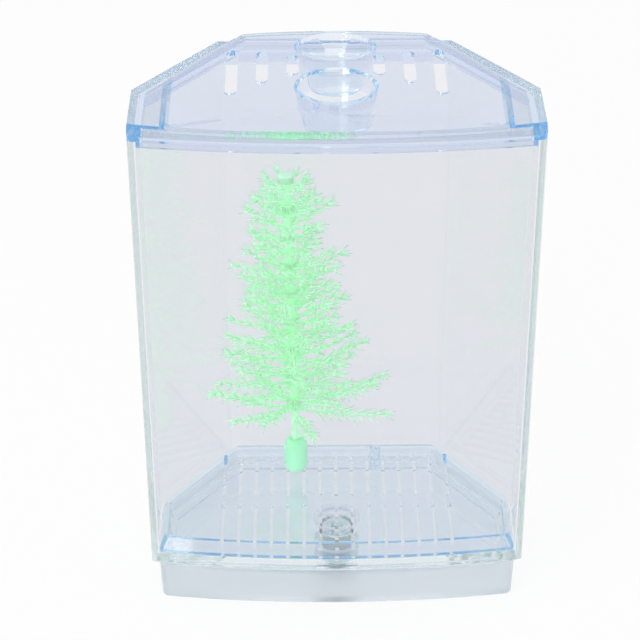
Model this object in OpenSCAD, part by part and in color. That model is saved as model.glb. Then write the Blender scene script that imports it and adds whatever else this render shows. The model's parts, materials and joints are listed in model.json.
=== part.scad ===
// Fish breeding box: a six-sided tank on a tray-shaped base, with a domed lid that
// holds two sunk cups, a slotted floor grate, a soft plant on a peg and a small lamp
// unit under the tank floor. Z is up, the front faces -Y, and the origin is the middle
// of the underside.

/* [Outline] */
// Width of the lid and of the tank at its top
box_w = 105; // [98:0.5:116]
// Depth of the straight side walls
side_d = 25; // [21:0.5:29]
// Depth of the slanting rear walls
slant_d = 33; // [28:0.1:37]
// Width of the rear wall
rear_w = 62.4; // [56:0.4:68]
// How far the curved front stands out from its corners
bulge = 4.8; // [3:0.1:6]
// Radius of the upright corners
corner_r = 1.5; // [1:0.1:2]

/* [Tank] */
// Height of the tank's rim above the table
rim_z = 136.8; // [120:0.4:150]
// Thickness of the tank walls
wall = 1.8; // [1.4:0.1:2.2]
// Thickness of the tank floor
floor_t = 2.5; // [2.1:0.1:2.9]
// Slope of the tank walls from upright
draft = 1; // [0.5:0.1:1.5]
// Height of the rib that finds the base
rib_h = 2; // [1:0.1:3]

/* [Base] */
// Height of the base
base_h = 11.3; // [11.1:0.1:13]
// How far the base stands in from the lid's side edges
base_inset = 4.4; // [3.6:0.1:5]
// How far the base stands in from the lid's front edge
base_front_inset = 1.5; // [1:0.1:2]
// Thickness of the base walls
base_wall = 2.4; // [2:0.1:3]
// Thickness of the base floor
base_floor = 1.8; // [1.4:0.1:2.2]
// Radius of the base's lower edge
base_edge_r = 1.5; // [1:0.1:1.8]

/* [Lid] */
// Height of the lid's outer edge
skirt_h = 3.2; // [2.8:0.1:4]
// Thickness of the lid plate
plate_t = 1.4; // [1.2:0.1:1.8]
// Depth of the lip inside the tank
lip_h = 2.2; // [1.6:0.1:5]
// Rise of the dome above the flange
dome_rise = 4.6; // [3.6:0.1:6]
// Width of the dome
dome_w = 88.6; // [82:0.2:91]
// Width of the dome's rear edge
dome_rear_w = 49; // [42:0.5:54]
// Distance from the dome's rear edge to the lid's rear edge
dome_rear_gap = 1.5; // [1:0.1:3]
// Distance from the dome's front crease to the lid's front corners
dome_front_gap = 2.2; // [1.6:0.1:3]
// Radius of the round cups at their rims
cup_r = 9.6; // [8.8:0.1:10.2]
// Depth of the cups
cup_depth = 8.6; // [6:0.1:10]
// Thickness of the cup walls
cup_t = 1; // [1:0.1:1.4]
// Distance between the two cup centres
cup_pitch = 26.6; // [26:0.1:28]
// Width of the air slots
vent_w = 3.1; // [2.4:0.1:3.2]

/* [Grate] */
// Height of the grate above the tank floor
grate_h = 4.3; // [4:0.1:5]
// Thickness of the grate plate
grate_t = 1.3; // [1:0.1:1.4]
// How far the grate's foot spreads beyond its plate
grate_flare = 1.6; // [1:0.1:2]
// Width of the drain slots
slot_w = 1; // [0.8:0.1:1.4]
// Distance between drain slots
slot_pitch = 4.44; // [4.3:0.02:4.5]
// Number of drain slots in a row
slot_n = 15; // [9:2:15]
// Diameter of the plant pegs
peg_d = 3; // [2.6:0.1:3.2]
// Height of the plant pegs
peg_h = 6.6; // [5:0.1:7]

/* [Plant] */
// Height of the plant above the grate
plant_h = 93; // [84:1:96]
// Lean of the plant to the left
lean = 1.5; // [0:0.1:2]
// Diameter of the round foot
foot_d = 6.5; // [5.8:0.1:7]
// Height of the round foot
foot_h = 10; // [9.6:0.1:11]
// Diameter of the stem
stem_d = 2.2; // [1.8:0.1:2.6]
// Reach of the lowest fronds
low_reach = 25; // [20:0.5:25]
// Reach of the highest fronds
top_reach = 9; // [5:0.5:10]
// Number of fronds in a ring
frond_n = 11; // [7:1:13]
// Rise of the fronds from level
frond_rise = 6; // [0:1:16]

/* [Lamp unit] */
// Diameter of the lamp unit
unit_d = 9.6; // [9.4:0.1:10.4]
// Diameter of a button cell
cell_d = 7.9; // [7.8:0.1:8]
// Height of a button cell
cell_h = 3.6; // [3.4:0.1:3.8]
// Diameter of the lamp
lamp_d = 4.8; // [4.4:0.1:5]
// Distance from the lamp unit to the lid's front corners
unit_back = 16; // [14:0.5:19]

/* [Hidden] */

$fn = 48;
arc_fn = 360;       // steps of the wide front arc where it is drawn as facets
big_fn = 240;       // steps of the dome's wide curves
thin = 0.01;        // thickness of a slice inside a hull
slide_gap = 0.3;    // clearance between pieces that lift apart
fit_gap = 0.05;     // clearance of a close fit
overlap = 0.4;      // how far joined shapes reach into each other

// outline, seen from above
front_y = -(side_d + slant_d - bulge) / 2;
side_y = front_y + side_d;
rear_y = side_y + slant_d;
front_r = (pow(box_w / 2, 2) + pow(bulge, 2)) / (2 * bulge);
arc_y = front_y - bulge + front_r;
slant_len = norm([(box_w - rear_w) / 2, slant_d]);
slant_n = [slant_d, (box_w - rear_w) / 2] / slant_len;
slant_c = slant_n * [box_w / 2, side_y];

// heights
taper = tan(draft);
floor_z = base_h + floor_t;
grate_z = floor_z + grate_h;
flange_z = rim_z + skirt_h;
dome_z = flange_z + dome_rise;
cup_top = dome_z - 2;

// lid
lip_t = 1.4;
vents = [[11.15, 4.4, 12.1], [19, 4.2, 19.7], [26.8, 2.6, 27.6]];  // place x, y and length
dome_mid_y = 5;
dome_rx = 373;
dome_band = 40;     // depth of the dome's curved band that is used
dome_ry = 250;
crease_r = 432;     // radius of the slope between the dome's front crease and the rim
crease_back = 202;  // how far behind the crease the slope's centre lies
crease_y = front_y + dome_front_gap;
crease_top = dome_z - dome_ry + sqrt(pow(dome_ry, 2) - pow(dome_mid_y - crease_y, 2));
crease_z = crease_top - sqrt(pow(crease_r, 2) - pow(crease_back, 2));
cup_taper = 2;      // how much narrower a cup is at its floor than at its rim
cup_slope = 0.225;
bore_h = 20;        // height of the cutters for the cups and the air slots

// grate
grate_inset = taper * (rim_z - floor_z) + wall + slide_gap;
grate_skirt = 1.2;
row_land = 5.2;     // unslotted strip between the two rows
rear_row = 21;      // length of the rear slots
front_row = 20.4;   // distance from the front slots' rear ends to the front corners
front_slot_y = front_y + front_row;
rear_slot_y = front_slot_y + row_land;
slot_sink = 1;      // how far the front slots cut into the skirt below the plate
peg_x = 2.5 * slot_pitch;
peg_back = 39.5;    // distance from the pegs to the front corners
peg_y = front_y + peg_back;

// plant, on the left peg
tier_n = 9;
foot_z = grate_z;
foot_bore = peg_h + slide_gap;
foot_flat = 0.8;    // how much of the round foot is cut flat at each end
stem_socket = 2.2;
stem_z = foot_z + foot_h - stem_socket;
tuft = 2;           // how far the highest fronds stand over the stem
stem_len = plant_h - foot_h + stem_socket - tuft;
collar_r = stem_d / 2 + 1.2;
collar_h = 2.2;
first_tier = 12;    // height of the lowest ring above the stem's lower end
tier_step = (stem_len - first_tier - collar_h) / (tier_n - 1);
frond_t = 0.9;
frond_w = 2.3;
frond_steps = 4;
wall_clear = 1.2;   // what the fronds leave free to the tank walls
back_room = rear_y - taper * (rim_z - grate_z) - wall - peg_y - wall_clear;
slant_room = slant_c - taper * (rim_z - grate_z) - wall - slant_n * [peg_x, peg_y] - wall_clear;

// lamp unit, from below
unit_y = front_y + unit_back;
cap_z = 0.6;
cap_t = 1.4;
cap_pocket = 0.4;
seal_r = 0.4;
housing_z = cap_z + cap_t + 2 * seal_r;
cell_z = housing_z;
cells_top = cell_z + 2 * cell_h;
lamp_flange_t = 0.8;
lamp_block = 1.4;
housing_top = cells_top + lamp_block + lamp_flange_t + 0.8;
lamp_h = 2.8;
lead_foot = 0.6;    // height of the contact pads under the lamp
lead_pitch = 1.6;
lead_w = 0.5;
lamp_z = housing_top - 0.8;
well_t = 1;
well_r = unit_d / 2 + 2 * slide_gap;
well_top = lamp_z + lamp_h + slide_gap;
socket_t = 1.3;
socket_h = 8;

function side_pt(e) = [box_w / 2 - e, (slant_c - e - slant_n.x * (box_w / 2 - e)) / slant_n.y];
function rear_pt(e) = [(slant_c - e - slant_n.y * (rear_y - e)) / slant_n.x, rear_y - e];
function front_pt(e, ef) = [box_w / 2 - e, arc_y - sqrt(pow(front_r - ef, 2) - pow(box_w / 2 - e, 2))];

// outline set in by d from the lid's edge and by df at the front, with corners of radius r
module plan(d, df, r, fn = arc_fn) {
    side_c = side_pt(d + r);
    rear_c = rear_pt(d + r);
    front_c = front_pt(d + r, df + r);
    arc_r = front_r - df;
    out = (front_c - [0, arc_y]) / norm(front_c - [0, arc_y]);
    touch = front_c + r * out;
    half = [touch, front_c + [r, 0], side_c + [r, 0], side_c + r * slant_n,
            rear_c + r * slant_n, rear_c + [0, r]];
    other = [for (i = [len(half) - 1:-1:0]) [-half[i].x, half[i].y]];
    nose = [0, arc_y - pow(arc_r, 2) / (arc_y - touch.y)];
    intersection() {
        polygon(concat([nose], half, other));
        translate([0, arc_y])
            circle(arc_r, $fn = fn);
    }
    for (s = [-1, 1], c = [side_c, rear_c, front_c])
        translate([s * c.x, c.y])
            circle(r);
}

// upright block with the outline above
module block(z0, z1, d, df, r) {
    translate([0, 0, z0])
        linear_extrude(z1 - z0)
            plan(d, df, r);
}

// block whose inset changes from d0 at its foot to d1 at its top
module slope_block(z0, z1, d0, d1, r) {
    hull() {
        block(z0, z0 + thin, d0, d0, r);
        block(z1 - thin, z1, d1, d1, r);
    }
}

module tank_body() {
    color("lavender", 0.4)
    difference() {
        union() {
            difference() {
                slope_block(base_h, rim_z, taper * (rim_z - base_h), 0, corner_r);
                slope_block(floor_z, rim_z + thin, taper * (rim_z - floor_z) + wall, wall, 1);
            }
            translate([0, unit_y, base_h])
                cylinder(well_top + well_t - base_h, r = well_r + well_t);
            tank_rib();
        }
        translate([0, unit_y, base_h - 1])
            cylinder(well_top - base_h + 1, r = well_r);
    }
}

// rib under the tank floor that drops inside the base
module tank_rib() {
    in = base_inset + base_wall + slide_gap;
    in_front = base_front_inset + base_wall + slide_gap;
    difference() {
        block(base_h - rib_h, base_h + overlap, in, in_front, 1);
        block(base_h - rib_h - 1, base_h, in + 1.4, in_front + 1.4, 1);
    }
}

module base() {
    foot_d0 = base_inset + 0.5;
    pad_t = 0.2;
    color("whitesmoke", 0.7)
    difference() {
        union() {
            block(0, base_floor / 2, foot_d0 + 2 * base_edge_r, base_front_inset + 2 * base_edge_r, 1);
            hull() {
                for (a = [0:22.5:90]) {
                    in = base_edge_r * (1 - cos(a));
                    z = pad_t + base_edge_r * (1 - sin(a));
                    block(z, z + thin, foot_d0 + in, base_front_inset + 0.1 + in, corner_r);
                }
                block(base_h - thin, base_h, base_inset, base_front_inset, corner_r);
            }
        }
        difference() {
            block(base_floor, base_h + 1, base_inset + base_wall, base_front_inset + base_wall, 1);
            translate([0, unit_y, 0])
                cylinder(socket_h, r = unit_d / 2 + fit_gap + socket_t);
        }
        translate([0, unit_y, -1])
            cylinder(base_h, r = unit_d / 2 + fit_gap);
    }
}

// the dome's plan, shrunk by e on the sides and the rear
module dome_plan(e) {
    polygon([[dome_w / 2 - e, front_y - 2 * bulge],
             [dome_w / 2 - e, side_y],
             [dome_rear_w / 2 - e, rear_y - dome_rear_gap - e],
             [e - dome_rear_w / 2, rear_y - dome_rear_gap - e],
             [e - dome_w / 2, side_y],
             [e - dome_w / 2, front_y - 2 * bulge]]);
}

// ball that forms the slope between the dome's front crease and the rim, shrunk by e
module front_slope(e) {
    translate([0, crease_y + crease_back, crease_z])
        sphere(crease_r - e, $fn = big_fn);
}

// solid under the dome's curved top, lowered by e
module dome_solid(e) {
    intersection() {
        translate([0, dome_mid_y, dome_z - dome_rx])
            rotate([90, 0, 0])
                rotate_extrude($fn = big_fn)
                    intersection() {
                        translate([dome_rx - dome_ry, 0])
                            circle(dome_ry - e, $fn = big_fn);
                        translate([dome_rx - dome_band, -box_w])
                            square([2 * dome_band, 2 * box_w]);
                    }
        front_slope(e);
        translate([0, 0, rim_z - 10])
            linear_extrude(dome_band)
                dome_plan(e);
    }
}

module cup_places() {
    for (s = [-1, 1])
        translate([0, dome_mid_y + s * cup_pitch / 2, cup_top - cup_depth])
            children();
}

// cone inside a cup, grown by e, from the cup's floor up
module cup_cone(e, h) {
    foot_r = cup_r - cup_taper + e;
    cylinder(h, r1 = foot_r, r2 = foot_r + cup_slope * h);
}

module vent(len) {
    translate([0, 0, rim_z])
        linear_extrude(bore_h) {
            square([vent_w, len - vent_w], center = true);
            for (s = [-1, 1])
                translate([0, s * (len - vent_w) / 2])
                    circle(vent_w / 2);
        }
}

module lid() {
    lip_in = wall + slide_gap;
    hollow_in = lip_in + lip_t;
    color("lightsteelblue", 0.5)
    difference() {
        intersection() {
            union() {
                block(rim_z, flange_z, 0, 0, corner_r);
                block(rim_z - lip_h, rim_z + overlap, lip_in, lip_in, 1);
                intersection() {
                    dome_solid(0);
                    block(flange_z - plate_t, dome_z + 1, 0, 0, corner_r);
                }
                cup_places()
                    translate([0, 0, -cup_t])
                        cup_cone(cup_t, cup_depth - 1);
            }
            front_slope(0);
        }
        difference() {
            intersection() {
                union() {
                    dome_solid(plate_t);
                    block(rim_z - lip_h - 1, flange_z - plate_t, 0, 0, 1);
                }
                front_slope(plate_t);
                block(rim_z - lip_h - 1, dome_z, hollow_in, hollow_in, 1);
            }
            cup_places()
                translate([0, 0, -cup_t])
                    cup_cone(cup_t, bore_h);
        }
        cup_places()
            cup_cone(0, bore_h);
        for (s = [-1, 1], v = vents)
            translate([s * v.x, v.y, 0])
                vent(v.z);
    }
}

module drain_slots(y0, y1, z0) {
    for (i = [0:slot_n - 1])
        translate([(i - (slot_n - 1) / 2) * slot_pitch - slot_w / 2, y0, z0])
            cube([slot_w, y1 - y0, grate_h]);
}

module grate() {
    top_inset = grate_inset + grate_flare;
    color("lightblue", 0.5)
    difference() {
        union() {
            slope_block(floor_z, grate_z, grate_inset, top_inset, corner_r);
            for (s = [-1, 1])
                translate([s * peg_x, peg_y, grate_z - overlap])
                    cylinder(peg_h + overlap, d = peg_d);
        }
        slope_block(floor_z - 1, grate_z - grate_t, grate_inset + grate_skirt - 0.3,
                    top_inset + grate_skirt, 1);
        drain_slots(rear_slot_y, rear_slot_y + rear_row, floor_z + 1);
        drain_slots(front_y - bulge, front_slot_y, grate_z - grate_t - slot_sink);
    }
}

module at_plant() {
    translate([-peg_x, peg_y, 0])
        children();
}

// frame that leans with the stem, with its origin at the stem's lower end
module on_stem() {
    at_plant()
        translate([0, 0, stem_z])
            rotate([0, -lean, 0])
                children();
}

module plant_foot() {
    end_r = foot_d / 2;
    color("palegreen")
    difference() {
        at_plant()
            translate([0, 0, foot_z])
                rotate_extrude()
                    intersection() {
                        union() {
                            translate([0, end_r - foot_flat])
                                circle(end_r);
                            translate([0, foot_h - end_r + foot_flat])
                                circle(end_r);
                            translate([0, end_r - foot_flat])
                                square([end_r, foot_h - 2 * (end_r - foot_flat)]);
                        }
                        square([end_r, foot_h]);
                    }
        at_plant()
            translate([0, 0, foot_z - 1])
                cylinder(foot_bore + 1, d = peg_d + 2 * fit_gap);
        on_stem()
            cylinder(foot_h, d = stem_d + 2 * fit_gap);
    }
}

module plant_stem() {
    color("palegreen")
        on_stem()
            cylinder(stem_len, d = stem_d);
}

// one soft frond along +X with short needles on both edges
module frond(reach) {
    root = collar_r - overlap;
    step = (reach - root) / (frond_steps + 1);
    apart = 0.85 * tan(180 / frond_n);
    edge = [for (k = [1:frond_steps], tip = [0, 1])
        let (x = root + step * (k + 0.75 * tip))
            [x, tip == 1 ? min(frond_w * (1.1 - k / 8), apart * x) : frond_t * 0.4]];
    back = [for (i = [len(edge) - 1:-1:0]) [edge[i].x, -edge[i].y]];
    rotate([0, -frond_rise, 0])
        translate([0, 0, -frond_t / 2])
            linear_extrude(frond_t)
                polygon(concat([[root, frond_t * 0.4]], edge, [[reach, 0]], back,
                               [[root, -frond_t * 0.4]]));
}

// how far a frond may reach at a bearing before it meets the rear walls
function room(a, reach) = min(reach,
    sin(a) > 0.1 ? back_room / sin(a) : reach,
    slant_n * [-cos(a), sin(a)] > 0.1 ? slant_room / (slant_n * [-cos(a), sin(a)]) : reach);

module plant_tier(i) {
    reach = low_reach + (top_reach - low_reach) * (i - 1) / (tier_n - 1);
    turn = i * 360 / frond_n / 2;
    color("palegreen")
        on_stem()
            translate([0, 0, first_tier + (i - 1) * tier_step]) {
                difference() {
                    cylinder(collar_h, r = collar_r);
                    translate([0, 0, -1])
                        cylinder(collar_h + 2, d = stem_d + 2 * fit_gap);
                }
                for (k = [0:frond_n - 1])
                    rotate([0, 0, turn + k * 360 / frond_n])
                        translate([0, 0, collar_h / 2])
                            frond(room(turn + k * 360 / frond_n, reach));
                }
}

module at_unit(z) {
    translate([0, unit_y, z])
        children();
}

module led_housing() {
    color("gainsboro", 0.5)
    difference() {
        at_unit(housing_z)
            cylinder(housing_top - housing_z, d = unit_d);
        at_unit(housing_z - 1)
            cylinder(lamp_z - housing_z + 1, d = cell_d + 2 * fit_gap);
        at_unit(housing_z)
            cylinder(20, d = lamp_d + 2 * fit_gap);
    }
}

module led_lamp() {
    cap_rise = 1.4;
    cap_r = (pow(lamp_d / 2, 2) + pow(cap_rise, 2)) / (2 * cap_rise);
    color("white", 0.8)
    difference() {
        union() {
            at_unit(cells_top + lead_foot)
                cylinder(lamp_block + lamp_flange_t - lead_foot, d = lamp_d - 0.6);
            at_unit(cells_top + lamp_block)
                cylinder(lamp_flange_t, d = lamp_d + 1);
            at_unit(lamp_z - overlap)
                cylinder(lamp_h - cap_rise + overlap, d = lamp_d);
            at_unit(lamp_z + lamp_h - cap_rise)
                intersection() {
                    translate([0, 0, cap_rise - cap_r])
                        sphere(cap_r);
                    translate([0, 0, -thin])
                        cylinder(cap_rise + 1, d = lamp_d);
                }
        }
        lead_frame(0.02);
    }
}

// the two leads of the lamp with the cup that holds its chip, grown by e
module lead_frame(e) {
    top = lamp_z - cells_top + 1;
    at_unit(cells_top) {
        for (s = [-1, 1])
            translate([s * lead_pitch / 2 - lead_w / 2 - e, -lead_w / 2 - e, -1])
                cube([lead_w + 2 * e, lead_w + 2 * e, top + 1 + (s > 0 ? -0.6 : 0) + e]);
        translate([-lead_pitch / 2, 0, top - 0.7 - e])
            cylinder(0.9 + 2 * e, r = lead_w + e);
    }
}

module lamp_leads() {
    color("silver")
    difference() {
        union() {
            lead_frame(0);
            at_unit(cells_top)
                translate([0, 0, 0.02])
                    for (s = [-1, 1])
                        translate([s * lead_pitch / 2, 0, 0])
                            cylinder(lead_foot - 0.04, r = lead_w);
        }
        at_unit(cells_top - 2)
            cylinder(2, d = cell_d);
    }
}

module cell(z) {
    color("silver")
        at_unit(z) {
            cylinder(cell_h - 0.3, d = cell_d);
            cylinder(cell_h, d = cell_d - 1.6);
        }
}

module cell_lower() {
    cell(cell_z);
}

module cell_upper() {
    cell(cell_z + cell_h);
}

module contact_spring() {
    coil_r = 2.2;
    wire_r = 0.2;
    low = cap_z + cap_t - cap_pocket + wire_r + 0.02;
    high = cell_z - wire_r - 0.02;
    color("silver")
        at_unit(0) {
            for (z = [low, (low + high) / 2, high])
                translate([0, 0, z])
                    rotate_extrude()
                        translate([coil_r, 0])
                            circle(wire_r);
            for (a = [0, 180])
                rotate([0, 0, a])
                    translate([coil_r, 0, low])
                        cylinder(high - low, r = wire_r * 0.8);
        }
}

module cap_seal() {
    color("dimgray")
        at_unit(cap_z + cap_t + seal_r)
            rotate_extrude()
                translate([unit_d / 2 - seal_r, 0])
                    circle(seal_r - 0.01);
}

module battery_cap() {
    plug_r = cell_d / 2 - 0.55;
    coin_l = unit_d - 3.2;
    coin_w = 1.2;
    coin_depth = 0.6;
    color("gray")
    difference() {
        at_unit(cap_z) {
            cylinder(cap_t, d = unit_d - 0.2);
            cylinder(cap_t + 2 * seal_r - 0.1, r = plug_r);
        }
        at_unit(cap_z + cap_t - cap_pocket)
            cylinder(5, r = 2.6);
        at_unit(cap_z - 1)
            translate([-coin_l / 2, -coin_w / 2, 0])
                cube([coin_l, coin_w, 1 + coin_depth]);
    }
}

base();
tank_body();
grate();
lid();
plant_foot();
plant_stem();
for (i = [1:tier_n])
    plant_tier(i);
led_housing();
led_lamp();
lamp_leads();
cell_lower();
cell_upper();
contact_spring();
cap_seal();
battery_cap();
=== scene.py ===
"""Fish breeding box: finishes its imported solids, grows its soft plant and sets a plain studio."""

import json
import math
import random

import bpy
from mathutils import Matrix, Vector

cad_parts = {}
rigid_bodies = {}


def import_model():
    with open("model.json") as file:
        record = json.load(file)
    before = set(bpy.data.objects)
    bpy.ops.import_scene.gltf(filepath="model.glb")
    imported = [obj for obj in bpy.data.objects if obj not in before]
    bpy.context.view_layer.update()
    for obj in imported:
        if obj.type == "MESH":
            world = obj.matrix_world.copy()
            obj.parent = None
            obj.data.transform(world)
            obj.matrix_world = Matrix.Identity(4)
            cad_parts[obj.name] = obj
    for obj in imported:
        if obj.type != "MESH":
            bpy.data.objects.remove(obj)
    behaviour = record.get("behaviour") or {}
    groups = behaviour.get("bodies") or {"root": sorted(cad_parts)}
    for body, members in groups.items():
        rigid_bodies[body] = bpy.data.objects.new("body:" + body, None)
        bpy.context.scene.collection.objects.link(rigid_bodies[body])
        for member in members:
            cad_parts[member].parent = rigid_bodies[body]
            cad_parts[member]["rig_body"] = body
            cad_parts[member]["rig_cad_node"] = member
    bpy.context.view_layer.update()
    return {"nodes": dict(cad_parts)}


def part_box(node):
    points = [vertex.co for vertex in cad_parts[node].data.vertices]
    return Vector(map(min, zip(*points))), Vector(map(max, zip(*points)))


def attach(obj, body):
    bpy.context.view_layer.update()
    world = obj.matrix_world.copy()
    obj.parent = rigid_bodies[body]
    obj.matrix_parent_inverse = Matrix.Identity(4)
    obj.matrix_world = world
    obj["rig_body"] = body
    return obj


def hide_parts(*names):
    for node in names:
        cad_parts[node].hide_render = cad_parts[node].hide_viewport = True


bl_info = {
    "name": "Fish breeding box",
    "version": (1, 0, 0),
    "blender": (4, 5, 0),
    "location": "View3D > Sidebar > Breeding box",
    "description": "Dresses the packed breeding box with clear plastics, a soft plant and a studio",
    "category": "Object",
}

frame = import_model()
NODES = frame["nodes"]
MM = 0.001

# how the solids are merged and flattened, which of their edges are rounded and which shaded
# smooth, and the film of air round each piece
MERGE = 2e-6
FLAT = math.radians(0.2)
ROUNDED = math.radians(28)
SMOOTHED = math.radians(50)
AIR = 0.015 * MM

# how the plant's tiers differ: shares of their size, degrees and millimetres
TIERS = 9
SPREAD = (1.1, 1.05, 0.95, 1.0, 0.95, 1.15, 0.75, 1.25, 1.1)
TIER_TURN = 21
RING_RISES = (-2.4, 0.8)
RING_SHRINK = 0.14
RING_DROOP = 5
LIFT_STEP = 2.5
LIFT_TIERS = 5
SINK_STEP = 0.4
TOP_SINK = 0.7
TOP_SINK_FROM = 7

# a rib: its root's share of the thickness, its rings, how much each shrinks, and how it bows
RIB_ROOT = 0.6
RIB_RINGS = 5
RIB_TAPER = 0.86
RIB_BOW = 0.16
RIB_BOW_POWER = 1.8

# a needle of unit length: its root's radius, where it is widest and by how much
NEEDLE_ROOT = 0.35
NEEDLE_WIDEST = 0.38
NEEDLE_SWELL = 1.43

# a frond's needles: room between whorls, where they begin, the needles' shares of length, and
# the lean in radians of the one at the tip
WHORL_GAP = 2.8 * MM
WHORLS_FROM = 0.16
NEEDLE_SHRINK = 0.35
NEEDLE_LIMIT = 0.55
TIP_SHARE = 0.55
TIP_LEAN = 0.05

# the sides that needles leave the rib on, and how far the last ones lean, in degrees
EVEN_SIDES = (90, -90, 0)
ODD_SIDES = (90, -90)
LAST_SIDES = (80, -80, 0, 180)
LAST_LEAN = 30

# the ranges that fronds and needles are drawn from: shares and degrees
REACH_RANGE = (0.96, 1.14)
BEARING_RANGE = (-7, 7)
DROOP_RANGE = (-4, 9)
ROLL_RANGE = (-25, 25)
LENGTH_RANGE = (0.85, 1.1)
LEAN_RANGE = (40, 52)
SIDE_RANGE = (-18, 18)

# the sleeve that holds a tier
COLLAR_RADIUS = 2.1 * MM
COLLAR_HEIGHT = 2.4 * MM
COLLAR_EDGE = 0.5 * MM

# places on the pieces where their finish changes, and where painted shade is laid on the tank's
# front lower edge, under the lid's flange and on the dome's side steps
BASE_FLOOR_TOP = 3 * MM
TANK_FLOOR_TOP = 14 * MM
TANK_SILL_BACK = -25 * MM
RIM_INSIDE = 48.9 * MM
FLANGE_UNDER = (138 * MM, 139.2 * MM)
FLANGE_TOP = 140.2 * MM
STEP_INSIDE = 42 * MM
CUP_RADIUS = 10 * MM
CUP_PLACES = (-8.3 * MM, 18.3 * MM)

# the studio: each softbox's place and side, what they light, and the camera
SOFTBOX = ((-0.45, -0.75, 1.05), 0.5)
SIDE_SOFTBOX = ((-0.46, -0.82, 0.13), 0.34)
LIT_POINT = (0, 0, 0.07)
CAMERA_PLACE = (-0.00717, -0.6218, 0.4039)
CAMERA_DOWN = 28.09
CAMERA_TURN = -0.66
CAMERA_LENS = 147.3
CAMERA_SHIFT = -0.0249


# ---------------------------------------------------------------- finishes


class Term:
    """A value among some nodes, so that shader maths reads as a plain expression."""

    def __init__(self, nodes, socket):
        self.nodes = nodes
        self.socket = socket

    def _math(self, operation, first, second):
        return self.nodes.node("ShaderNodeMath", {"operation": operation}, {0: first, 1: second})

    def __add__(self, other):
        return self._math("ADD", self, other)

    def __sub__(self, other):
        return self._math("SUBTRACT", self, other)

    def __rsub__(self, other):
        return self._math("SUBTRACT", other, self)

    def __mul__(self, other):
        return self._math("MULTIPLY", self, other)

    def __gt__(self, other):
        return self._math("GREATER_THAN", self, other)

    def __lt__(self, other):
        return self._math("LESS_THAN", self, other)

    def __or__(self, other):
        return self._math("MAXIMUM", self, other)

    def __abs__(self):
        return self._math("ABSOLUTE", self, 0.0)

    __radd__ = __add__
    __rmul__ = __mul__
    __ror__ = __or__


class Nodes:
    """The nodes of a finish or of the room light."""

    def __init__(self, tree):
        self.tree = tree

    def node(self, kind, settings=None, inputs=None, output=0):
        """Adds a node with its settings first and then its sockets, and returns one output."""
        made = self.tree.nodes.new(kind)
        for key, value in (settings or {}).items():
            if key == "stops":
                ramp = made.color_ramp
                while len(ramp.elements) < len(value):
                    ramp.elements.new(1)
                for element, (position, colour) in zip(ramp.elements, value):
                    element.position = position
                    element.color = colour
            else:
                setattr(made, key, value)
        self.feed(made, inputs or {})
        return Term(self, made.outputs[output])

    def feed(self, target, inputs):
        """Sets or links sockets of a node."""
        for key, value in inputs.items():
            socket = target.inputs[key]
            if isinstance(value, Term):
                self.tree.links.new(value.socket, socket)
            else:
                socket.default_value = value

    def seen(self):
        """1 to the camera and to what metal and clear plastic show of it, 0 to other light."""
        path = self.node("ShaderNodeLightPath").socket.node
        camera, glossy, clear = (
            Term(self, path.outputs[f"Is {kind} Ray"])
            for kind in ("Camera", "Glossy", "Transmission"))
        return camera | glossy | clear


class Finish(Nodes):
    """One surface finish: a material, its nodes and its Principled shader."""

    def __init__(self, name, colour):
        self.material = bpy.data.materials.new(name)
        self.material.use_nodes = True
        self.material.diffuse_color = (*colour, 1)
        super().__init__(self.material.node_tree)
        self.shader = self.tree.nodes["Principled BSDF"]
        self.output = self.tree.nodes["Material Output"]
        self.place = self.node("ShaderNodeTexCoord", output="Object")

    def where(self):
        """The place on the object as three terms, in metres."""
        split = self.node("ShaderNodeSeparateXYZ", inputs={0: self.place}).socket.node
        return [Term(self, split.outputs[axis]) for axis in "XYZ"]

    def set(self, **inputs):
        """Sets or links sockets of the Principled shader, written with underscores."""
        self.feed(self.shader, {k.replace("_", " "): v for k, v in inputs.items()})
        return self

    def noise(self, size, detail=2.0, stretch=(1, 1, 1)):
        """Soft noise from 0 to 1 whose spots are about size metres across."""
        place = self.place
        if stretch != (1, 1, 1):
            place = self.node("ShaderNodeMapping", inputs={"Vector": place, "Scale": stretch})
        return self.node("ShaderNodeTexNoise", inputs={
            "Vector": place, "Scale": 1 / size, "Detail": detail, "Roughness": 0.55})

    def blend(self, factor, first, second):
        """Mixes two colours."""
        made = self.node("ShaderNodeMix", {"data_type": "RGBA"}, {}, 2)
        for key, value in ((0, factor), (6, first), (7, second)):
            self.feed(made.socket.node, {key: value})
        return made

    def bump(self, height, distance, strength=1.0):
        """A normal from a height, with distance in metres."""
        return self.node("ShaderNodeBump", inputs={
            "Height": height, "Distance": distance, "Strength": strength})

    def absorb(self, colour, density):
        """Colours what light crosses inside the solid."""
        volume = self.node("ShaderNodeVolumeAbsorption", inputs={
            "Color": (*colour, 1), "Density": density})
        self.feed(self.output, {"Volume": volume})
        return self


def shade(colour, factor):
    """The colour times a factor, with alpha."""
    return (*(min(1, c * factor) for c in colour), 1)


def clear_plastic(name, tint, roughness, ior=1.49, wave=0.02, patches=()):
    """Moulded clear plastic: faint flow marks, slight clouding and wiped-down gloss.

    Each patch is a test of the place and the tint that holds where it passes.
    """
    made = Finish(name, tint)
    cloud = made.noise(0.03, 3)
    flow = made.noise(0.018, 2, (1, 1, 0.35))
    wipe = made.noise(0.012, 1, (1, 0.3, 1))
    colour = made.blend(cloud, shade(tint, 0.99), shade(tint, 1.01))
    for inside, patch in patches:
        colour = made.blend(inside(*made.where()), colour, (*patch, 1))
    return made.set(
        Base_Color=colour,
        Roughness=wipe * (roughness * 0.6) + roughness * 0.7,
        Transmission_Weight=1.0,
        IOR=ior,
        Normal=made.bump(flow, 0.0004, wave),
    )


# ---------------------------------------------------------------- modelling helpers


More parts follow.
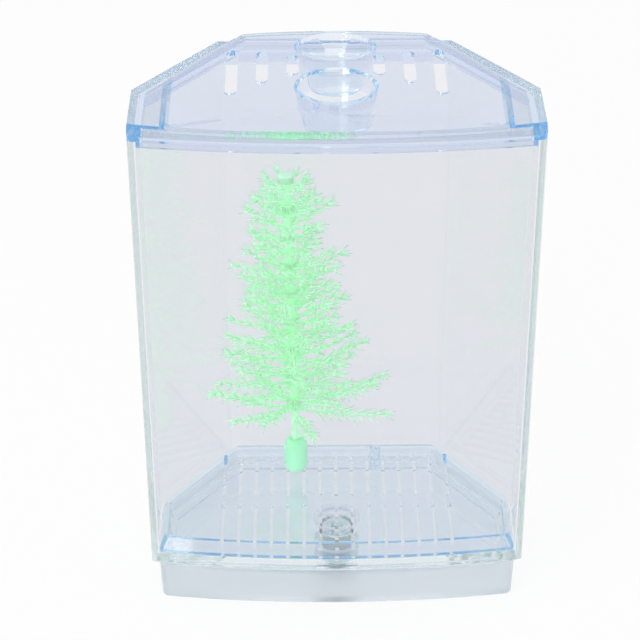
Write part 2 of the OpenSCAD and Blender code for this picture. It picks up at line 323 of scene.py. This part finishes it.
def pick(*objects):
    """Leaves these objects, and no others, selected, with the first active."""
    if bpy.context.mode != "OBJECT":
        bpy.ops.object.mode_set(mode="OBJECT")
    bpy.ops.object.select_all(action="DESELECT")
    for o in objects:
        o.select_set(True)
    bpy.context.view_layer.objects.active = objects[0] if objects else None


def edit(obj):
    """Opens obj for editing with everything selected."""
    pick(obj)
    bpy.ops.object.mode_set(mode="EDIT")
    bpy.ops.mesh.select_all(action="SELECT")


def close_edit():
    """Leaves edit mode."""
    bpy.ops.object.mode_set(mode="OBJECT")


def modify(obj, kind, **settings):
    """Adds a modifier to obj and applies it."""
    pick(obj)
    made = obj.modifiers.new(kind.title(), kind)
    for key, value in settings.items():
        setattr(made, key, value)
    bpy.ops.object.modifier_apply(modifier=made.name)


def copy_of(obj, name):
    """A copy of obj with its own mesh, riding on nothing."""
    pick(obj)
    bpy.ops.object.duplicate(linked=False)
    made = bpy.context.view_layer.objects.active
    bpy.ops.object.parent_clear(type="CLEAR_KEEP_TRANSFORM")
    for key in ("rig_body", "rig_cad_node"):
        if key in made:
            del made[key]
    made.name = name
    made.data.name = name
    return made


def dress(obj, finish):
    """Gives obj one finish on all its faces."""
    obj.data.materials.clear()
    obj.data.materials.append(finish.material)


def dress_part(obj, finish, wanted):
    """Gives the faces of obj that pass a test their own finish."""
    obj.data.materials.append(finish.material)
    for face in obj.data.polygons:
        if wanted(face):
            face.material_index = len(obj.data.materials) - 1


def moulded(node, name, finish, edge, segments=2):
    """A copy of a CAD node whose sharp edges are rounded as a mould leaves them."""
    made = copy_of(NODES[node], name)
    body = NODES[node]["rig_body"]
    edit(made)
    bpy.ops.mesh.customdata_custom_splitnormals_clear()
    bpy.ops.mesh.select_all(action="SELECT")
    bpy.ops.mesh.remove_doubles(threshold=MERGE)
    bpy.ops.mesh.dissolve_limited(angle_limit=FLAT)
    close_edit()
    pick(made)
    bpy.ops.object.shade_smooth()
    modify(made, "BEVEL", width=edge, segments=segments, limit_method="ANGLE",
           angle_limit=ROUNDED, use_clamp_overlap=True)
    bpy.ops.object.shade_smooth_by_angle(angle=SMOOTHED)
    modify(made, "WEIGHTED_NORMAL", keep_sharp=True)
    let_air_in(made)
    dress(made, finish)
    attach(made, body)
    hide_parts(node)
    return made


def let_air_in(obj):
    """Draws obj in by a hair on every side, so that pieces which touch keep a film of air."""
    corners = [Vector(c) for c in obj.bound_box]
    low, high = corners[0], corners[6]
    centre = (low + high) / 2
    scale = [1 - 2 * AIR / side for side in high - low]
    obj.data.transform(
        Matrix.Translation(centre) @ Matrix.Diagonal((*scale, 1)) @ Matrix.Translation(-centre))


# ---------------------------------------------------------------- settings


def colour_prop(name, description, default):
    """A colour that a user may change."""
    return bpy.props.FloatVectorProperty(
        name=name, description=description, default=default, subtype="COLOR", min=0, max=1)


def length_prop(name, description, default, low=0.0, high=10.0):
    """A length that a user may change, in metres."""
    return bpy.props.FloatProperty(
        name=name, description=description, default=default, min=low, max=high,
        unit="LENGTH", precision=5)


class BreedboxPlastics(bpy.types.PropertyGroup):
    """Colours, painted shades and edge radii of the moulded pieces."""

    tank_tint: colour_prop(
        "Tank", "Colour that light takes on in one tank wall", (0.875, 0.885, 0.911))
    floor_tint: colour_prop(
        "Tank floor", "Colour that light takes on in the tank floor", (0.97, 0.98, 0.99))
    # painted shade: the tank's front lower edge is tinted darker than the rest of its floor and
    # walls
    sill_painted_shade: colour_prop(
        "Tank sill", "Colour that light takes on at the floor's front edge", (0.78, 0.84, 0.90))
    tank_depth_tint: colour_prop(
        "Tank depth colour", "Colour that light takes on inside the tank's plastic",
        (0.0, 0.37, 0.33))
    tank_depth: bpy.props.FloatProperty(
        name="Tank depth", description="Strength of the tank's colour per metre of plastic",
        default=2, min=0, max=100)
    base_tint: colour_prop("Base", "Colour of the frosted base", (0.84, 0.87, 0.90))
    lid_tint: colour_prop("Lid", "Surface colour of the lid", (0.80, 0.832, 0.925))
    rim_tint: colour_prop(
        "Lid rim", "Surface colour of the lid up to its flange", (0.81, 0.855, 0.965))
    # painted shade: the lid is tinted much darker under its flange
    flange_painted_shade: colour_prop(
        "Lid flange", "Surface colour under the lid's flange", (0.55, 0.60, 0.715))
    # painted shade: the dome's side steps are tinted a darker, deeper blue than the rest of the lid
    step_painted_shade: colour_prop(
        "Lid step", "Surface colour of the dome's side steps", (0.50, 0.66, 0.82))
    cup_tint: colour_prop("Cups", "Surface colour of the sunk cups", (0.96, 0.975, 0.99))
    grate_tint: colour_prop("Grate", "Surface colour of the grate", (0.925, 0.955, 0.995))
    blue: colour_prop("Blue", "Colour that the blue plastic lets through", (0.0, 0.61, 0.93))
    blue_depth: bpy.props.FloatProperty(
        name="Blue depth", description="Strength of the lid's blue per metre of plastic",
        default=10.5, min=0, max=200)
    grate_depth: bpy.props.FloatProperty(
        name="Grate depth", description="Strength of the grate's blue per metre of plastic",
        default=15, min=0, max=200)
    tank_edge: length_prop(
        "Tank edges", "Radius of the edges of the tank and its base", 0.3 * MM, 0, MM)
    lid_edge: length_prop("Lid edges", "Radius of the lid's edges", 0.3 * MM, 0, MM)
    grate_edge: length_prop("Grate edges", "Radius of the grate's edges", 0.15 * MM, 0, MM)


class BreedboxPlant(bpy.types.PropertyGroup):
    """Shape and colour of the soft plant."""

    green: colour_prop("Green", "Colour of the soft plastic", (0.55, 0.97, 0.62))
    # the plant is painted a deeper green below bulb_top
    bulb_green: colour_prop(
        "Bulb green", "Colour of the denser plastic at the foot", (0.36, 0.86, 0.52))
    bulb_top: length_prop(
        "Bulb top", "Height up to which the plastic is denser", 28.3 * MM, 0, 0.2)
    needle: length_prop("Needle", "Length of the longest needles", 6.0 * MM, MM, 9 * MM)
    needle_w: length_prop(
        "Needle width", "Width of a needle at its widest", 0.65 * MM, 0.3 * MM, 2 * MM)
    rib: length_prop("Rib", "Thickness of a frond's rib", 0.8 * MM, 0.4 * MM, 2 * MM)
    fronds: bpy.props.IntProperty(
        name="Fronds", description="Fronds in each of a tier's two rings", default=7, min=5, max=14)
    clear: length_prop("Clearance", "Room left to the tank walls", 1.0 * MM, 0, 5 * MM)
    seed: bpy.props.IntProperty(name="Seed", description="Seed of the small differences", default=7)


class BreedboxStudio(bpy.types.PropertyGroup):
    """Floor, light and camera."""

    floor: colour_prop("Floor", "Colour of the floor", (0.90, 0.90, 0.90))
    white: bpy.props.FloatProperty(
        name="White", description="Brightness of the floor as the camera sees it", default=0.985)
    share: bpy.props.FloatProperty(
        name="Evenness", description="Share of the floor that is evenly white", default=0.9,
        subtype="FACTOR", min=0, max=1)
    floor_r: length_prop("Floor radius", "Radius of the floor", 9.0, 1, 50)
    sky: bpy.props.FloatProperty(
        name="Room light", description="Strength of the room light", default=0.96)
    lamp: bpy.props.FloatProperty(
        name="Softbox", description="Power of the softbox", default=3.0, unit="POWER")
    side_lamp: bpy.props.FloatProperty(
        name="Side softbox", description="Power of the low softbox", default=2.5, unit="POWER")
    passes: bpy.props.IntProperty(
        name="Passes", description="How often light may turn inside the clear plastics",
        default=96, min=12)


# ---------------------------------------------------------------- operators


class BREEDBOX_OT_tank(bpy.types.Operator):
    """Make the clear tank with its rounded rim, corners and lamp well"""

    bl_idname = "breedbox.tank"
    bl_label = "Tank"

    def execute(self, context):
        sizes = context.scene.breedbox_plastics
        finish = clear_plastic(
            "tank clear", sizes.tank_tint, 0.02, wave=0.002,
            patches=[
                (lambda x, y, z: z < TANK_FLOOR_TOP, sizes.floor_tint),
                # painted shade on the tank's front lower edge
                (lambda x, y, z: (z < TANK_FLOOR_TOP) * (y < TANK_SILL_BACK), sizes.sill_painted_shade)])
        finish.absorb(sizes.tank_depth_tint, sizes.tank_depth)
        moulded("tank_body", "tank", finish, sizes.tank_edge)
        return {"FINISHED"}


class BREEDBOX_OT_base(bpy.types.Operator):
    """Make the frosted tray that carries the tank and the lamp unit"""

    bl_idname = "breedbox.base"
    bl_label = "Base"

    def execute(self, context):
        sizes = context.scene.breedbox_plastics
        finish = Finish("base frosted", sizes.base_tint)
        cloud = finish.noise(0.02, 3)
        grain = finish.noise(0.0006, 3)
        finish.set(
            Base_Color=finish.blend(
                cloud, shade(sizes.base_tint, 0.985), shade(sizes.base_tint, 1.01)),
            Roughness=grain * 0.12 + 0.42,
            Transmission_Weight=1.0,
            IOR=1.46,
            Normal=finish.bump(grain, 0.00005, 0.15),
        )
        base = moulded("base", "stand_tray", finish, sizes.tank_edge)
        polished = clear_plastic("base floor clear", sizes.base_tint, 0.12, wave=0.01)
        dress_part(base, polished, lambda face: (
            abs(face.normal.z) > 0.9 and face.center.z < BASE_FLOOR_TOP))
        return {"FINISHED"}


class BREEDBOX_OT_lid(bpy.types.Operator):
    """Make the blue lid with its dome, air slots and sunk cups"""

    bl_idname = "breedbox.lid"
    bl_label = "Lid"

    def execute(self, context):
        sizes = context.scene.breedbox_plastics
        cups = [(lambda x, y, z, c=c: x * x + (y - c) * (y - c) < CUP_RADIUS ** 2, sizes.cup_tint)
                for c in CUP_PLACES]
        low, high = FLANGE_UNDER
        finish = clear_plastic("lid blue", sizes.lid_tint, 0.04, patches=[
            (lambda x, y, z: z < FLANGE_TOP, sizes.rim_tint),
            # painted shade under the lid's flange
            (lambda x, y, z: (z > low) * (z < high) * (abs(x) < RIM_INSIDE), sizes.flange_painted_shade),
            # painted shade on the dome's side steps
            (lambda x, y, z: (abs(x) > STEP_INSIDE) * (z > FLANGE_TOP), sizes.step_painted_shade),
            *cups])
        finish.absorb(sizes.blue, sizes.blue_depth)
        moulded("lid", "lid_dome", finish, sizes.lid_edge)
        return {"FINISHED"}


class BREEDBOX_OT_grate(bpy.types.Operator):
    """Make the blue slotted grate with its two plant pegs"""

    bl_idname = "breedbox.grate"
    bl_label = "Grate"

    def execute(self, context):
        sizes = context.scene.breedbox_plastics
        finish = clear_plastic("grate blue", sizes.grate_tint, 0.05)
        finish.absorb(sizes.blue, sizes.grate_depth)
        moulded("grate", "grate_floor", finish, sizes.grate_edge)
        return {"FINISHED"}


class BREEDBOX_OT_plant(bpy.types.Operator):
    """Grow the soft plant: a bulb foot, a stem and rings of needled fronds"""

    bl_idname = "breedbox.plant"
    bl_label = "Plant"

    def execute(self, context):
        sizes = context.scene.breedbox_plant
        random.seed(sizes.seed)
        finish = self.finish(sizes)
        moulded("plant_foot", "plant_bulb", finish, 0.3 * MM)
        moulded("plant_stem", "plant_stalk", finish, 0.3 * MM)
        low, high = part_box("plant_stem")
        radius = (high.y - low.y) / 2
        root = Vector((high.x - radius, (low.y + high.y) / 2, low.z))
        top = Vector((low.x + radius, root.y, high.z))
        needle = self.needle()
        tank = bpy.data.objects["tank"]
        for i in range(1, TIERS + 1):
            self.tier(sizes, i, root, top, needle, tank, finish)
        bpy.data.objects.remove(needle)
        return {"FINISHED"}

    def finish(self, sizes):
        """Soft green plastic with a faint painted glow that lightens its shade, and a deeper green
        up to the bulb's top.
        """
        made = Finish("plant green", sizes.green)
        mottle = made.noise(0.006, 2)
        grain = made.noise(0.0008, 2)
        made.set(
            Base_Color=made.blend(
                made.where()[2] < sizes.bulb_top,
                made.blend(mottle, shade(sizes.green, 0.92), shade(sizes.green, 1.06)),
                shade(sizes.bulb_green, 1.0)),
            Roughness=grain * 0.15 + 0.4,
            Subsurface_Weight=0.3,
            Subsurface_Radius=(0.6, 1.0, 0.7),
            Subsurface_Scale=0.002,
            Normal=made.bump(grain, 0.00008, 0.3),
            # painted glow: the plant gives off its own faint green light, though it is no lamp
            Emission_Color=shade(sizes.green, 1.0),
            Emission_Strength=0.14,
        )
        return made

    def needle(self):
        """One needle of unit length along +Z, widest at a third of it."""
        pick()
        bpy.ops.mesh.primitive_circle_add(vertices=4, radius=NEEDLE_ROOT, fill_type="NGON")
        made = bpy.context.object
        made.name = "needle"
        edit(made)
        widest = (0, 0, NEEDLE_WIDEST)
        bpy.ops.mesh.extrude_region_move(TRANSFORM_OT_translate={"value": widest})
        bpy.ops.transform.resize(
            value=(NEEDLE_SWELL, NEEDLE_SWELL, 1), center_override=widest)
        bpy.ops.mesh.extrude_region_move(
            TRANSFORM_OT_translate={"value": (0, 0, 1 - NEEDLE_WIDEST)})
        bpy.ops.mesh.merge(type="CENTER")
        bpy.ops.mesh.select_all(action="SELECT")
        bpy.ops.mesh.normals_make_consistent(inside=False)
        close_edit()
        bpy.ops.object.shade_smooth()
        return made

    def rib(self, sizes, reach):
        """A tapering rib along +X that bows up towards its tip."""
        pick()
        bpy.ops.mesh.primitive_circle_add(
            vertices=6, radius=sizes.rib * RIB_ROOT, fill_type="NGON",
            rotation=(0, math.pi / 2, 0))
        made = bpy.context.object
        made.name = "rib"
        bpy.ops.object.transform_apply(location=True, rotation=True, scale=True)
        edit(made)
        last = Vector((0, 0, 0))
        for k in range(1, RIB_RINGS + 1):
            here = self.rib_point(reach, k / RIB_RINGS)
            bpy.ops.mesh.extrude_region_move(TRANSFORM_OT_translate={"value": here - last})
            bpy.ops.transform.resize(value=(1, RIB_TAPER, RIB_TAPER), center_override=here)
            last = here
        bpy.ops.mesh.select_all(action="SELECT")
        bpy.ops.mesh.normals_make_consistent(inside=False)
        close_edit()
        bpy.ops.object.shade_smooth()
        return made

    def rib_point(self, reach, share):
        """Where the rib's centre is at a share of its length."""
        return Vector((reach * share, 0, reach * RIB_BOW * share ** RIB_BOW_POWER))

    def frond(self, sizes, reach, needle):
        """A rib with whorls of needles and a fan at its tip."""
        bare = reach - TIP_SHARE * sizes.needle
        parts = [self.rib(sizes, bare)]
        count = max(2, round(bare / WHORL_GAP))
        for k in range(1, count + 1):
            share = WHORLS_FROM + (1 - WHORLS_FROM) * k / count
            length = sizes.needle * (1.0 - NEEDLE_SHRINK * share) * random.uniform(*LENGTH_RANGE)
            length = min(length, reach * NEEDLE_LIMIT)
            forward = math.radians(random.uniform(*LEAN_RANGE))
            turns = ODD_SIDES if k % 2 else EVEN_SIDES
            if k == count:
                turns = LAST_SIDES
                forward = math.radians(LAST_LEAN)
            for turn in turns:
                side = math.radians(turn + random.uniform(*SIDE_RANGE))
                parts.append(self.place_needle(
                    sizes, needle, self.rib_point(bare, share), forward, side, length))
        parts.append(self.place_needle(
            sizes, needle, self.rib_point(bare, 1), TIP_LEAN, 0, TIP_SHARE * sizes.needle))
        pick(*parts)
        bpy.ops.object.join()
        return bpy.context.view_layer.objects.active

    def place_needle(self, sizes, needle, point, forward, side, length):
        """A copy of the needle that leaves the rib at a point, leaning forward."""
        made = copy_of(needle, "needle_copy")
        made.data.transform(
            Matrix.Translation(point)
            @ Matrix.Rotation(-side, 4, "X")
            @ Matrix.Rotation(math.pi / 2 - forward, 4, "Y")
            @ Matrix.Diagonal((sizes.needle_w, sizes.needle_w, length, 1)))
        return made

    def tier(self, sizes, i, root, top, needle, tank, finish):
        """One tier: a collar round the stem with two staggered rings of fronds."""
        low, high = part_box(f"plant_tier_{i}")
        height = (low.z + high.z) / 2
        axis = (top - root).normalized()
        centre = root + axis * ((height - root.z) / axis.z)
        reach = max(centre.x - low.x, high.x - centre.x) * SPREAD[i - 1]
        source = self.frond(sizes, reach, needle)
        parts = [self.collar(centre, axis)]
        step = 360 / sizes.fronds
        lift = math.radians(LIFT_STEP * min(i - 1, LIFT_TIERS))
        sink = SINK_STEP * (i - 1) + max(0, TOP_SINK * (i - TOP_SINK_FROM))
        for ring, rise in enumerate(RING_RISES):
            for k in range(sizes.fronds):
                bearing = math.radians(
                    i * TIER_TURN + ring * step / 2 + k * step + random.uniform(*BEARING_RANGE))
                start = centre + Vector((0, 0, (rise - sink) * MM))
                out = Vector((math.cos(bearing), math.sin(bearing), 0))
                hit, spot, _, _ = tank.ray_cast(start, out)
                room = (spot - start).length - sizes.clear if hit else reach
                wanted = reach * (1 - RING_SHRINK * ring) * random.uniform(*REACH_RANGE)
                scale = min(wanted, room) / reach
                made = copy_of(source, "frond_copy")
                droop = -lift - math.radians(random.uniform(*DROOP_RANGE) + RING_DROOP * ring)
                made.data.transform(
                    Matrix.Translation(start)
                    @ Matrix.Rotation(bearing, 4, "Z")
                    @ Matrix.Rotation(droop, 4, "Y")
                    @ Matrix.Rotation(math.radians(random.uniform(*ROLL_RANGE)), 4, "X")
                    @ Matrix.Diagonal((scale, 1, 1, 1)))
                parts.append(made)
        bpy.data.objects.remove(source)
        pick(*parts)
        bpy.ops.object.join()
        made = bpy.context.view_layer.objects.active
        made.name = f"plant_ring_{i}"
        dress(made, finish)
        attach(made, "plant")
        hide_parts(f"plant_tier_{i}")

    def collar(self, centre, axis):
        """The sleeve that holds a tier on the stem, with rounded edges."""
        pick()
        bpy.ops.mesh.primitive_cylinder_add(
            vertices=20, radius=COLLAR_RADIUS, depth=COLLAR_HEIGHT)
        made = bpy.context.object
        edit(made)
        bpy.ops.mesh.bevel(offset=COLLAR_EDGE, segments=2, affect="EDGES")
        close_edit()
        bpy.ops.object.shade_smooth()
        turn = Vector((0, 0, 1)).rotation_difference(axis).to_matrix().to_4x4()
        made.data.transform(Matrix.Translation(centre) @ turn)
        return made


class BREEDBOX_OT_lamp_unit(bpy.types.Operator):
    """Finish the lamp unit: clear housing, lamp, leads, button cells, spring, seal and cap"""

    bl_idname = "breedbox.lamp_unit"
    bl_label = "Lamp unit"

    def execute(self, context):
        housing = clear_plastic("unit clear", (0.98, 0.99, 1.0), 0.05, 1.3)
        moulded("led_housing", "unit_housing", housing, 0.2 * MM)
        lamp = clear_plastic("lamp clear", (0.97, 0.99, 1.0), 0.02, 1.35)
        moulded("led_lamp", "unit_lamp", lamp, 0.15 * MM)
        steel = self.metal("cell steel", (0.56, 0.57, 0.59), 0.28, 0.0003)
        moulded("cell_lower", "unit_cell_lower", steel, 0.25 * MM)
        moulded("cell_upper", "unit_cell_upper", steel, 0.25 * MM)
        contact = self.metal("contact metal", (0.70, 0.70, 0.70), 0.22, 0.0002)
        moulded("contact_spring", "unit_spring", contact, 0.02 * MM)
        moulded("lamp_leads", "unit_leads", contact, 0.05 * MM)
        moulded("cap_seal", "unit_seal", self.dull("seal rubber", (0.05, 0.05, 0.055), 0.6),
                0.02 * MM)
        moulded("battery_cap", "unit_cap", self.dull("cap grey", (0.46, 0.48, 0.52), 0.42),
                0.15 * MM)
        return {"FINISHED"}

    def metal(self, name, colour, roughness, line):
        """Drawn metal with fine rubbed lines."""
        made = Finish(name, colour)
        rub = made.noise(line, 3, (1, 1, 8))
        made.set(
            Base_Color=made.blend(rub, shade(colour, 0.85), shade(colour, 1.1)),
            Metallic=1.0,
            Roughness=rub * 0.15 + roughness,
            Normal=made.bump(rub, 0.00002, 0.3),
        )
        return made

    def dull(self, name, colour, roughness):
        """Moulded opaque plastic or rubber with a fine grain."""
        made = Finish(name, colour)
        grain = made.noise(0.0005, 3)
        made.set(
            Base_Color=made.blend(grain, shade(colour, 0.9), shade(colour, 1.1)),
            Roughness=grain * 0.2 + roughness,
            Normal=made.bump(grain, 0.00004, 0.3),
        )
        return made


class BREEDBOX_OT_stage(bpy.types.Operator):
    """Set the pale floor, the room light, the softboxes and the camera"""

    bl_idname = "breedbox.stage"
    bl_label = "Studio"

    def execute(self, context):
        sizes = context.scene.breedbox_studio
        self.floor(sizes)
        self.room(context.scene, sizes)
        self.softbox("softbox", *SOFTBOX, sizes.lamp)
        self.softbox("side softbox", *SIDE_SOFTBOX, sizes.side_lamp)
        self.camera(context.scene)
        context.scene.view_settings.view_transform = "Standard"
        context.scene.cycles.max_bounces = sizes.passes
        context.scene.cycles.transmission_bounces = sizes.passes
        context.scene.cycles.glossy_bounces = sizes.passes
        context.scene.cycles.diffuse_bounces = 12
        context.scene.cycles.blur_glossy = 0.0
        return {"FINISHED"}

    def floor(self, sizes):
        """A wide floor that stays evenly white and still takes the object's shadow."""
        pick()
        bpy.ops.mesh.primitive_circle_add(
            vertices=64, radius=sizes.floor_r, fill_type="NGON", location=(0, 0, -0.0001))
        made = bpy.context.object
        made.name = "floor"
        bpy.ops.object.transform_apply(location=True, rotation=True, scale=True)
        finish = Finish("floor white", sizes.floor)
        finish.set(Base_Color=(*sizes.floor, 1), Roughness=0.9, Specular_IOR_Level=0.1)
        white = (sizes.white, sizes.white, sizes.white, 1)
        glow = finish.node("ShaderNodeEmission", inputs={"Color": white})
        lit = Term(finish, finish.shader.outputs[0])
        mixed = finish.node("ShaderNodeMixShader", inputs={
            0: finish.seen() * sizes.share, 1: lit, 2: glow})
        finish.feed(finish.output, {"Surface": mixed})
        dress(made, finish)

    def room(self, scene, sizes):
        """Even light from all round, in front of which the background is white."""
        world = bpy.data.worlds.new("room")
        scene.world = world
        world.use_nodes = True
        sky = Nodes(world.node_tree)
        level = sky.node("ShaderNodeMapRange", inputs={
            "Value": sky.seen(), "To Min": sizes.sky, "To Max": sizes.white})
        sky.feed(sky.tree.nodes["Background"], {"Color": (1, 1, 1, 1), "Strength": level})

    def softbox(self, name, place, side, power):
        """A square light that the camera doesn't see."""
        light = bpy.data.lights.new(name, "AREA")
        light.shape = "SQUARE"
        light.size = side
        light.energy = power
        made = bpy.data.objects.new(name, light)
        bpy.context.scene.collection.objects.link(made)
        made.location = place
        made.visible_camera = False
        aim = Vector(LIT_POINT) - Vector(place)
        made.rotation_euler = aim.to_track_quat("-Z", "Y").to_euler()

    def camera(self, scene):
        """A long lens that looks down on the front."""
        data = bpy.data.cameras.new("camera")
        data.sensor_width = 36
        data.lens = CAMERA_LENS
        data.shift_x = CAMERA_SHIFT
        data.clip_start = 0.05
        data.clip_end = 50
        made = bpy.data.objects.new("camera", data)
        scene.collection.objects.link(made)
        made.location = CAMERA_PLACE
        made.rotation_euler = (math.radians(90 - CAMERA_DOWN), 0, math.radians(CAMERA_TURN))
        scene.camera = made


class BREEDBOX_PT_panel(bpy.types.Panel):
    """Lists the pieces in the sidebar"""

    bl_idname = "BREEDBOX_PT_panel"
    bl_label = "Breeding box"
    bl_space_type = "VIEW_3D"
    bl_region_type = "UI"
    bl_category = "Breeding box"

    def draw(self, context):
        for kind in OPERATORS:
            self.layout.operator(kind.bl_idname, text=kind.bl_label)


OPERATORS = (
    BREEDBOX_OT_tank,
    BREEDBOX_OT_base,
    BREEDBOX_OT_lid,
    BREEDBOX_OT_grate,
    BREEDBOX_OT_plant,
    BREEDBOX_OT_lamp_unit,
    BREEDBOX_OT_stage,
)
GROUPS = {
    "breedbox_plastics": BreedboxPlastics,
    "breedbox_plant": BreedboxPlant,
    "breedbox_studio": BreedboxStudio,
}


def register():
    for kind in (*GROUPS.values(), *OPERATORS, BREEDBOX_PT_panel):
        bpy.utils.register_class(kind)
    for name, kind in GROUPS.items():
        setattr(bpy.types.Scene, name, bpy.props.PointerProperty(type=kind))


def unregister():
    for name in GROUPS:
        delattr(bpy.types.Scene, name)
    for kind in (BREEDBOX_PT_panel, *reversed(OPERATORS), *reversed(GROUPS.values())):
        bpy.utils.unregister_class(kind)


def main():
    """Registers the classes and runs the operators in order."""
    register()
    for kind in OPERATORS:
        group, name = kind.bl_idname.split(".")
        getattr(getattr(bpy.ops, group), name)()


if __name__ == "__main__":
    main()
